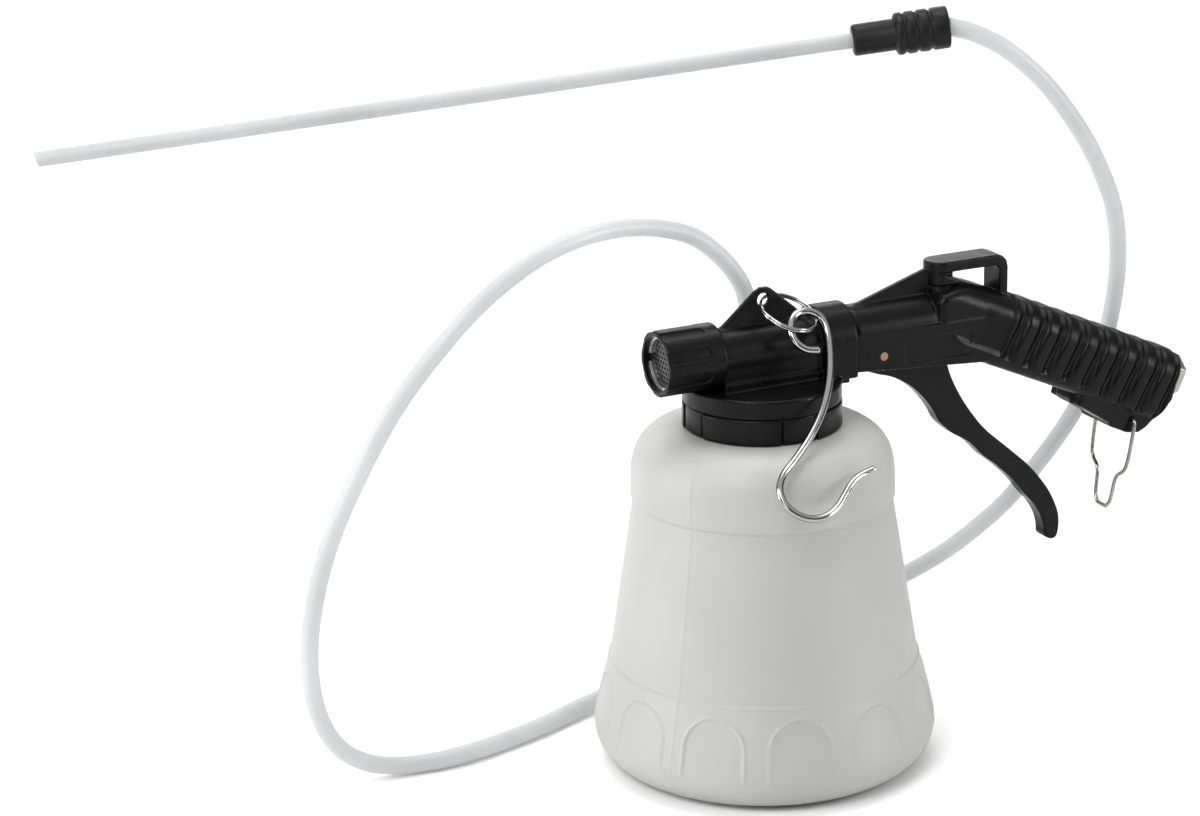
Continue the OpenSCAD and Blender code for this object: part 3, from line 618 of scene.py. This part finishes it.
def gun_field():
    f = Field((22.6, -13.6, 93), (170, 13.6, 171.4), 0.34)
    x, y, z = f.x, f.y, f.z
    s = (x - KNEE[0]) * C24 - (z - KNEE[1]) * S24
    n = (x - KNEE[0]) * S24 + (z - KNEE[1]) * C24
    ay = np.abs(y)
    # housing with its round back
    housing = cross2(outline(x, z, [(31.45, 137.6), (84, 133.75), (90, 140), (90, 150.3), (31.45, 150.3)]),
                     ay - 11, 0.45)
    bulge = cross2(np.hypot(y, z - 149) - 9.9, slab(x, 31.4, 65.4), 2.2)
    d = smin(housing, bulge, 0.3)
    # panel on both sides
    panel = np.maximum(cross2(slab(x, 50.5, 77.0), slab(z, 137.8, 146.6), 0.8), 10.45 - ay)
    d = smax(d, -panel, 0.12)
    # grip: rings with a steep edge ahead of each groove and a slope behind it
    first, pitch = 14.4, 9.04
    phase = (s - 0.1 * n - first) / pitch
    part = phase - np.floor(phase)
    bead = np.interp(part, [0, 0.06, 0.11, 0.15, 0.19, 0.24, 0.29, 0.33, 0.37, 0.42],
                     [1.95, 1.8, 1.15, 0.75, 0.6, 0.65, 0.9, 1.15, 0.9, 0.35])
    band = np.interp(part, [0, 0.06, 0.11, 0.17, 0.24, 0.32, 0.42, 0.5, 0.56, 0.86, 0.9, 0.94, 1],
                     [1.95, 1.85, 1.3, 0.8, 0.5, 0.3, 0.2, 0.05, 0, 0, 0.25, 1.6, 1.95])
    upper = np.clip((n + 7) / 10, 0, 1) * (part < 0.42)
    depth = band + (bead - band) * upper
    foot = -9.7 - 0.04 * (s - 14)
    fade = np.clip((n - foot) / 2.4, 0, 1)
    before = np.clip((s - 11.9) / 0.4, 0, 1)
    depth = (0.95 + (depth - 0.95) * before) * fade
    near = first + 0.4 + pitch * np.clip(np.round((s - first - 0.4) / pitch), 0, 7)
    rise = n - foot
    wedge = (rise > 0) & (np.abs(s - near) < 2.3 * (1 - rise / 3.2))
    dimple = np.where(wedge, np.minimum(0.5 * rise, 1.5), 0)
    sleeve = grip_section(y, n, 12.9 - 1.2 * np.clip((11 - s) / 10, 0, 1), 13.1, 9.4, 4.6)
    grip = sleeve + np.maximum(depth, dimple * (ay > 9))
    grip = smax(grip, s - GRIP_END + 0.32 * np.maximum(-4 - n, 0), 0.8)
    front = outline(x, z, [(64.5, 149.6), (64.5, 157.5), (66.5, 160), (72, 161.2), (79, 162.6), (230, 162.6),
                           (230, 20), (80, 130)])
    grip = smax(grip, front, 3.0)
    d = smin(d, grip, 0.8)
    # pad under the grip, with the boss of the lock wire
    pad_side = outline(s, n, [(53, -8), (54.2, -16.8), (69.6, -19.2), (71, -20.4), (78.3, -20.5),
                              (83.6, -19.2), (86.2, -16.3), (88.1, -12), (89.2, -4), (89.2, 2)])
    boss = np.hypot(s - BAIL[0], n - BAIL[1]) - 5.2
    pad = cross2(smin(pad_side, boss, 0.6), ay - 10, 1.2)
    d = smin(d, pad, 0.9)
    tab = outline(s, n, [(52, -10), (52.8, -15.8), (54.2, -17.1), (57, -17.6), (57, -10)])
    d = smin(d, cross2(tab, ay - 5, 0.8), 0.3)
    # thin web from the sleeve up to the bracket
    web = outline(x, z, [(31.5, 155), (31.5, 157.3), (64.5, 167.9), (70, 167.9), (72, 150)])
    d = smin(d, cross2(web, ay - 1.2, 0.4), 0.8)
    # hanging bracket
    loop = outline(x, z, [(64, 162), (64, 170.5), (90.6, 170.5), (92.9, 169.9), (94.5, 168.3), (95.1, 166),
                          (95.1, 150), (80, 150), (80, 162)])
    hole = outline(x, z, [(55, 166.7), (90.3, 166.7), (91.8, 165.2), (91.8, 140), (55, 150)])
    hole = np.maximum(hole, -(n - 11.6))
    end = np.where(x < 70.4, np.hypot(x - 70.4, y), ay) - 5.75
    bracket = cross2(np.maximum(loop, -hole), end, 0.7)
    from_post = np.hypot(x - 70.4, y)
    post = np.maximum(from_post - 4.7, slab(z, 150, 168))
    post_foot = cross2(from_post - 5.5, slab(z, 150, 161.6), 0.5)
    d = smin(d, bracket, 0.6)
    d = smin(d, smin(post, post_foot, 0.4), 0.5)
    # trigger slot, then bores for the pin, the inlet, the lock wire, the valve and the nozzle
    slot = np.maximum(outline(x, z, [(35.6, 125), (35.6, 146), (47.6, 146), (47.6, 141), (59, 141), (79, 147),
                                     (81, 141), (81, 125)]), ay - 3.9)
    d = smax(d, -slot, 0.3)
    pin = np.hypot(x - PIVOT[0], z - PIVOT[1]) - 1.52
    d = np.maximum(d, -pin)
    d = np.maximum(d, -(np.maximum(np.hypot(y, n - INLET_N) - 6.9, 80 - s)))
    d = smax(d, -(np.hypot(s - BAIL[0], n - BAIL[1]) - 0.95), 0.4)
    d = np.maximum(d, -(np.maximum(np.hypot(x - 52, y) - 4.05, slab(z, 139, 157))))
    d = np.maximum(d, -(np.maximum(np.hypot(y, z - AXIS_Z) - 9.62, x - 31.3)))
    return f, d


f, d = gun_field()
field_piece("gun_shell", f, d, "head", black, ("gun_body",))


# ---------------------------------------------------------------- head
def head_field():
    f = Field((-29, -29, 119), (33.2, 29, 171), 0.42)
    x, y, z = f.x, f.y, f.z
    ay = np.abs(y)
    rad = np.hypot(x, y)
    skirt = cross2(rad - 27.5, slab(z, 131, 137), 0.15)
    rim = np.hypot(rad - 26.8, z - 137.05) - 0.5
    d = smin(skirt, rim, 0.3)
    barrel = cross2(np.hypot(y, z - AXIS_Z) - 9, slab(x, -18.5, 30), 0.3)
    wall = cross2(cross2(slab(x, -18.5, 29.5), ay - 8.6, 0.6), slab(z, 136, AXIS_Z), 0.3)
    plinth = cross2(cross2(slab(x, -18.5, 29.5), ay - 9.4, 0.5), slab(z, 134, 140.2), 0.4)
    d = smin(d, smin(barrel, wall, 0.5), 0.9)
    d = smin(d, plinth, 0.5)
    sleeve = cross2(np.hypot(y, z - AXIS_Z) - 12.3, slab(x, 19, 31.35), 0.7)
    foot = cross2(cross2(slab(x, 19, 31.35), ay - 12.25, 0.9), slab(z, 136.2, AXIS_Z), 0.7)
    d = smin(d, smin(sleeve, foot, 0.3), 0.7)
    lug = outline(x, z, [(-18.4, 154), (-18.4, 155.6), (-2.9, 168.7), (-0.6, 170), (2.2, 169.9), (3.4, 169.3),
                         (18.5, 156.4), (18.5, 154)])
    lug = cross2(lug, ay - 1.1, 0.45)
    d = smin(d, lug, 0.9)
    d = np.maximum(d, -(np.hypot(x - 0.3, z - 165.7) - 2.3))
    nose = np.maximum(np.hypot(y, z - AXIS_Z) - 8.8, slab(x, -26.5, -17))
    d = np.minimum(d, nose)
    boss = cross2(np.hypot(x - 3, y - 15.5) - 6.4, slab(z, 136, 142), 0.5)
    d = smin(d, boss, 1.0)
    spigot = np.maximum(rad - 19.6, slab(z, 129.5, 134))
    flange = np.maximum(rad - 22, slab(z, 129.5, 130.9))
    d = np.minimum(d, np.minimum(spigot, flange))
    hollow = np.maximum(np.maximum(rad - 25.8, 19.6 - rad), slab(z, 130.9, 134.6))
    d = np.maximum(d, -hollow)
    d = np.maximum(d, -(np.maximum(np.hypot(y, z - AXIS_Z) - 9.7, 22.9 - x)))
    d = np.maximum(d, -(np.maximum(np.hypot(y, z - AXIS_Z) - 5.5, x - 23)))
    return f, d


f, d = head_field()
field_piece("head_shell", f, d, "head", black, ("head",))


def collar_field():
    f = Field((-28.4, -28.4, 121), (28.4, 28.4, 135), 0.36)
    x, y, z = f.x, f.y, f.z
    rad = np.hypot(x, y)
    theta = np.arctan2(y, x)
    d = cross2(rad - 27.2, slab(z, 121.8, 130.95), 0.15)
    quarter = math.pi / 2
    off = np.abs(theta % quarter - quarter / 2) - math.radians(31)
    off = off * 27.2
    panel = cross2(cross2(rad - 27.65, off, 0.15), slab(z, 121.8, 130.6), 0.15)
    d = np.minimum(d, np.maximum(panel, 24 - rad))
    groove = np.maximum(cross2(np.abs(off) - 0.5, slab(z, 115, 130.2), 0.2), 26.3 - rad)
    d = smax(d, -groove, 0.15)
    up = np.maximum(rad - 25.4, slab(z, 130, 134.4))
    d = np.minimum(d, up)
    d = np.maximum(d, -np.maximum(rad - 23.8, z - 131.2))
    return f, np.maximum(d, 20 - rad)


f, d = collar_field()
field_piece("collar_ring", f, d, "screw_collar", black, ("screw_collar",))


def silencer_field():
    f = Field((-41.4, -12.4, AXIS_Z - 12.4), (-17.6, 12.4, AXIS_Z + 12.4), 0.25)
    x, y, z = f.x, f.y, f.z
    rad = np.hypot(y, z - AXIS_Z)
    d = cross2(rad - 11.5, slab(x, -40.5, -18.6), 0.7)
    pitch = math.radians(45)
    ang = (np.arctan2(z - AXIS_Z, y) + pitch) % pitch - pitch / 2
    u = ang * 11.5
    end = -26.4
    flute = np.where(x < end, np.abs(u) - 2.1, np.hypot(u, x - end) - 2.1)
    flute = smax(flute, 10.8 - rad, 0.1)
    d = smax(d, -flute, 0.15)
    d = smax(d, -np.maximum(rad - 9.45, x + 28), 0.35)
    d = np.maximum(d, -(rad - 8.95))
    return f, d


f, d = silencer_field()
field_piece("silencer_shell", f, d, "silencer", black, ("silencer_cap",))

# ---------------------------------------------------------------- trigger
TRIGGER = [
    (38.6, 139.6), (38.3, 135.8), (43.7, 133.2), (49.4, 131.4), (54.5, 128.7), (58.6, 125.8), (63.2, 121.2),
    (67, 116), (69.6, 111.4), (74.8, 106.6), (79.6, 103.7), (83.2, 100.8), (87.8, 96), (92.1, 92.6),
    (96.8, 88.4), (101, 84.2), (105, 79.2), (109.4, 74.2), (112.4, 69.2), (113.8, 64.6), (114.2, 61.2),
    (117.2, 59.6), (119.4, 60.8), (120.2, 66), (119, 71.8), (114.8, 79.9), (107.1, 89.3), (97.2, 98.3),
    (87.4, 107.1), (79.2, 118), (74.4, 126.8), (72.2, 133), (71.6, 136),
]


def trigger_field():
    f = Field((37, -4.2, 58.4), (121.4, 4.2, 147), 0.33)
    x, y, z = f.x, f.y, f.z
    side = [tuple(p) for p in smooth_path(TRIGGER, 4)] + [(47.4, 136), (45.4, 140)]
    from_pin = np.hypot(x - PIVOT[0], z - PIVOT[1])
    flat = np.minimum(outline(x, z, side), from_pin - 3.6)
    d = cross2(flat, np.abs(y) - 3.5, 0.9)
    return f, np.maximum(d, -(from_pin - 1.55))


f, d = trigger_field()
field_piece("trigger_lever", f, d, "trigger", black, ("trigger",))


# ---------------------------------------------------------------- air inlet
def inlet_field():
    """In the inlet's own frame: x along it from the grip's end, y and z across."""
    f = Field((-10.2, -9.4, -9.4), (7, 9.4, 9.4), 0.28)
    x, y, z = f.x, f.y, f.z
    rad = np.hypot(y, z)
    ay, az = np.abs(y), np.abs(z)
    hexa = np.maximum(ay * 0.5 + az * math.sqrt(3) / 2, ay) - 8.6 * math.sqrt(3) / 2
    nut = cross2(hexa, slab(x, 0.9, 5.5), 0.25)
    nut = smax(nut, (rad - 8.15) * 0.87 + (x - 5.5) * 0.5, 0.2)
    d = np.minimum(nut, np.maximum(rad - 6.85, slab(x, -9, 1)))
    bore = rad - 5.72 - 0.32 * np.abs(((x / 1.34) % 1) - 0.5)
    d = np.maximum(d, -np.maximum(bore, -4.5 - x))
    d = np.maximum(d, -np.maximum(rad - 6.4, 4.9 - x))
    return f, np.maximum(d, -(rad - 3.4))


f, d = inlet_field()
verts, faces = f.mesh(d)
local = verts / MM
along, across = GRIP_END + local[:, 0], INLET_N + local[:, 2]
placed = np.stack([KNEE[0] + along * C24 + across * S24, local[:, 1],
                   KNEE[1] - along * S24 + across * C24], 1) * MM
mesh_piece("inlet_nut", placed, faces.tolist(), "head", nickel, ("air_inlet",))

# ---------------------------------------------------------------- wire parts
HOOK_WIRE, RING_WIRE, LOCK_WIRE = 1.3, 0.43, 0.75  # radii
HOOK = [
    (11.8, 9.2), (7.6, 8.2), (4.8, 5), (4.2, 1), (5.8, -3), (9.4, -5.3), (13.4, -5.1), (16.6, -2.6),
    (17.6, 2.4), (16.1, 10), (13.4, 18), (9.6, 25.4), (4.6, 32.6), (-2, 39.6), (-9, 45.6), (-15, 50.2),
    (-18.2, 54.6), (-18.6, 59), (-16.8, 63), (-13.4, 66), (-9, 67.4), (-4.4, 67), (0, 64.9),
    (4, 61.4), (7.6, 58), (11.6, 55.6), (17.8, 54),
]
lean = math.radians(38)
flat = smooth_path([(u, v, 0) for u, v in HOOK], 8)
path = np.stack([flat[:, 0], -12.8 - flat[:, 1] * math.sin(lean), 157.8 - flat[:, 1] * math.cos(lean)], 1)
path, radii = rounded_ends(path, HOOK_WIRE)
verts, faces = sweep(path * MM, radii * MM, 24, (0, 1, 0))
mesh_piece("hook_wire", verts, faces, "hook", chrome, ("hook",))

ring_centre = np.array((7.2, -6.2, 161.5))
turn = frame_to((0.194, -0.387, 0.901))
path = []
for k in range(0, 721, 4):
    rise = np.clip((k - 330) / 60, 0, 1)
    rise = 0.84 * (rise * rise * (3 - 2 * rise) - 0.5)
    a = math.radians(k + 150)
    path.append(ring_centre + turn @ np.array((10.2 * math.cos(a), 10.2 * math.sin(a), rise)))
path, radii = rounded_ends(path, RING_WIRE)
verts, faces = sweep(path * MM, radii * MM, 14, turn[:, 2])
mesh_piece("split_ring_wire", verts, faces, "split_ring", chrome, ("split_ring",))

BAIL_HALF = [
    (7.6, 0), (10.4, 0), (11.7, 1.2), (11.9, 5), (11.8, 10), (11.3, 16), (10, 19.4), (6.8, 22),
    (5.6, 24.4), (5.2, 28), (4.6, 32.4), (2.6, 35),
]
half = smooth_path([(u, v, 0) for u, v in BAIL_HALF], 6)
loop = [(0, -u, -v) for u, v, _ in half] + [(0, u, -v) for u, v, _ in half[::-1]]
tilt = math.radians(9)
pivot = np.array((KNEE[0] + BAIL[0] * C24 + BAIL[1] * S24, 0, KNEE[1] - BAIL[0] * S24 + BAIL[1] * C24))
path = [pivot + np.array((p[0] * math.cos(tilt) + p[2] * math.sin(tilt), p[1],
                          -p[0] * math.sin(tilt) + p[2] * math.cos(tilt))) for p in loop]
path, radii = rounded_ends(path, LOCK_WIRE)
verts, faces = sweep(path * MM, radii * MM, 18, (1, 0, 0))
mesh_piece("lock_wire", verts, faces, "trigger_lock", spring_wire, ("trigger_lock",))


# ---------------------------------------------------------------- studio
def stage_floor():
    """White paper that lies flat under the object and curves up behind it."""
    verts, faces = [], []
    turn = math.radians(25)
    profile = [(-3.0, 0.0), (1.6, 0.0)]
    for k in range(1, 13):
        a = math.pi / 2 * k / 12
        profile.append((1.6 + 0.8 * math.sin(a), 0.8 - 0.8 * math.cos(a)))
    profile.append((2.4, 4.0))
    for w in (-4.0, 4.0):
        for u, z in profile:
            verts.append((w * math.cos(turn) + u * math.sin(turn),
                          u * math.cos(turn) - w * math.sin(turn), z))
    n = len(profile)
    for i in range(n - 1):
        faces.append((i, i + n, i + n + 1, i + 1))
    mesh = bpy.data.meshes.new("floor")
    mesh.from_pydata(verts, [], faces)
    for p in mesh.polygons:
        p.use_smooth = True
    floor = bpy.data.objects.new("floor", mesh)
    bpy.context.scene.collection.objects.link(floor)
    floor.location.z = -0.0002
    m, _, _, shader = new_material("floor_paper")
    shader.inputs["Base Color"].default_value = (0.93, 0.93, 0.93, 1)
    shader.inputs["Roughness"].default_value = 0.9
    shader.inputs["Specular IOR Level"].default_value = 0.1
    floor.data.materials.append(m)


def area_light(name, place, aim, size, watts, diffuse=True, glossy=True):
    """A lamp that the camera doesn't see; it may light the matt surfaces or the gloss only."""
    data = bpy.data.lights.new(name, "AREA")
    data.shape = "RECTANGLE"
    data.size, data.size_y = size
    data.energy = watts
    light = bpy.data.objects.new(name, data)
    bpy.context.scene.collection.objects.link(light)
    light.location = place
    light.visible_camera, light.visible_diffuse, light.visible_glossy = False, diffuse, glossy
    light.rotation_euler = (Vector(aim) - Vector(place)).to_track_quat("-Z", "Y").to_euler()


stage_floor()
area_light("key", (-0.9, -0.6, 1.2), (0, 0, 0.12), (0.6, 0.45), 8)
area_light("strip", (-0.95, -0.95, 0.65), (0.05, 0, 0.13), (0.2, 1.2), 5, diffuse=False)
area_light("top", (0.15, 0.3, 1.5), (0, 0.05, 0.1), (1.1, 0.8), 13)
area_light("fill", (1.2, -0.8, 0.6), (0, 0, 0.12), (0.3, 0.8), 7, glossy=False)
area_light("sheen", (0.98, -0.97, 0.46), (0.12, 0, 0.13), (0.3, 0.6), 10, diffuse=False)
area_light("side", (-1.2, 0.3, 0.35), (-0.03, 0, 0.12), (0.4, 0.9), 11)
area_light("back", (0.3, 1.5, 0.9), (0, 0.4, 0.1), (1.6, 0.6), 7)


def studio_world():
    """Bright overhead, dim around the horizon, so that wires and gloss have something to mirror."""
    world = bpy.data.worlds.new("studio")
    world.use_nodes = True
    nodes, links = world.node_tree.nodes, world.node_tree.links
    coords = nodes.new("ShaderNodeTexCoord")
    split = nodes.new("ShaderNodeSeparateXYZ")
    links.new(coords.outputs["Generated"], split.inputs["Vector"])
    sky = nodes.new("ShaderNodeValToRGB")
    sky.color_ramp.elements[0].position = 0.0
    sky.color_ramp.elements[0].color = (0.03, 0.03, 0.03, 1)
    sky.color_ramp.elements[1].position = 0.75
    sky.color_ramp.elements[1].color = (1, 1, 1, 1)
    middle = sky.color_ramp.elements.new(0.35)
    middle.color = (0.08, 0.08, 0.08, 1)
    links.new(split.outputs["Z"], sky.inputs["Fac"])
    links.new(sky.outputs["Color"], nodes["Background"].inputs["Color"])
    nodes["Background"].inputs["Strength"].default_value = 0.9
    bpy.context.scene.world = world


studio_world()
bpy.context.scene.view_settings.view_transform = "Standard"
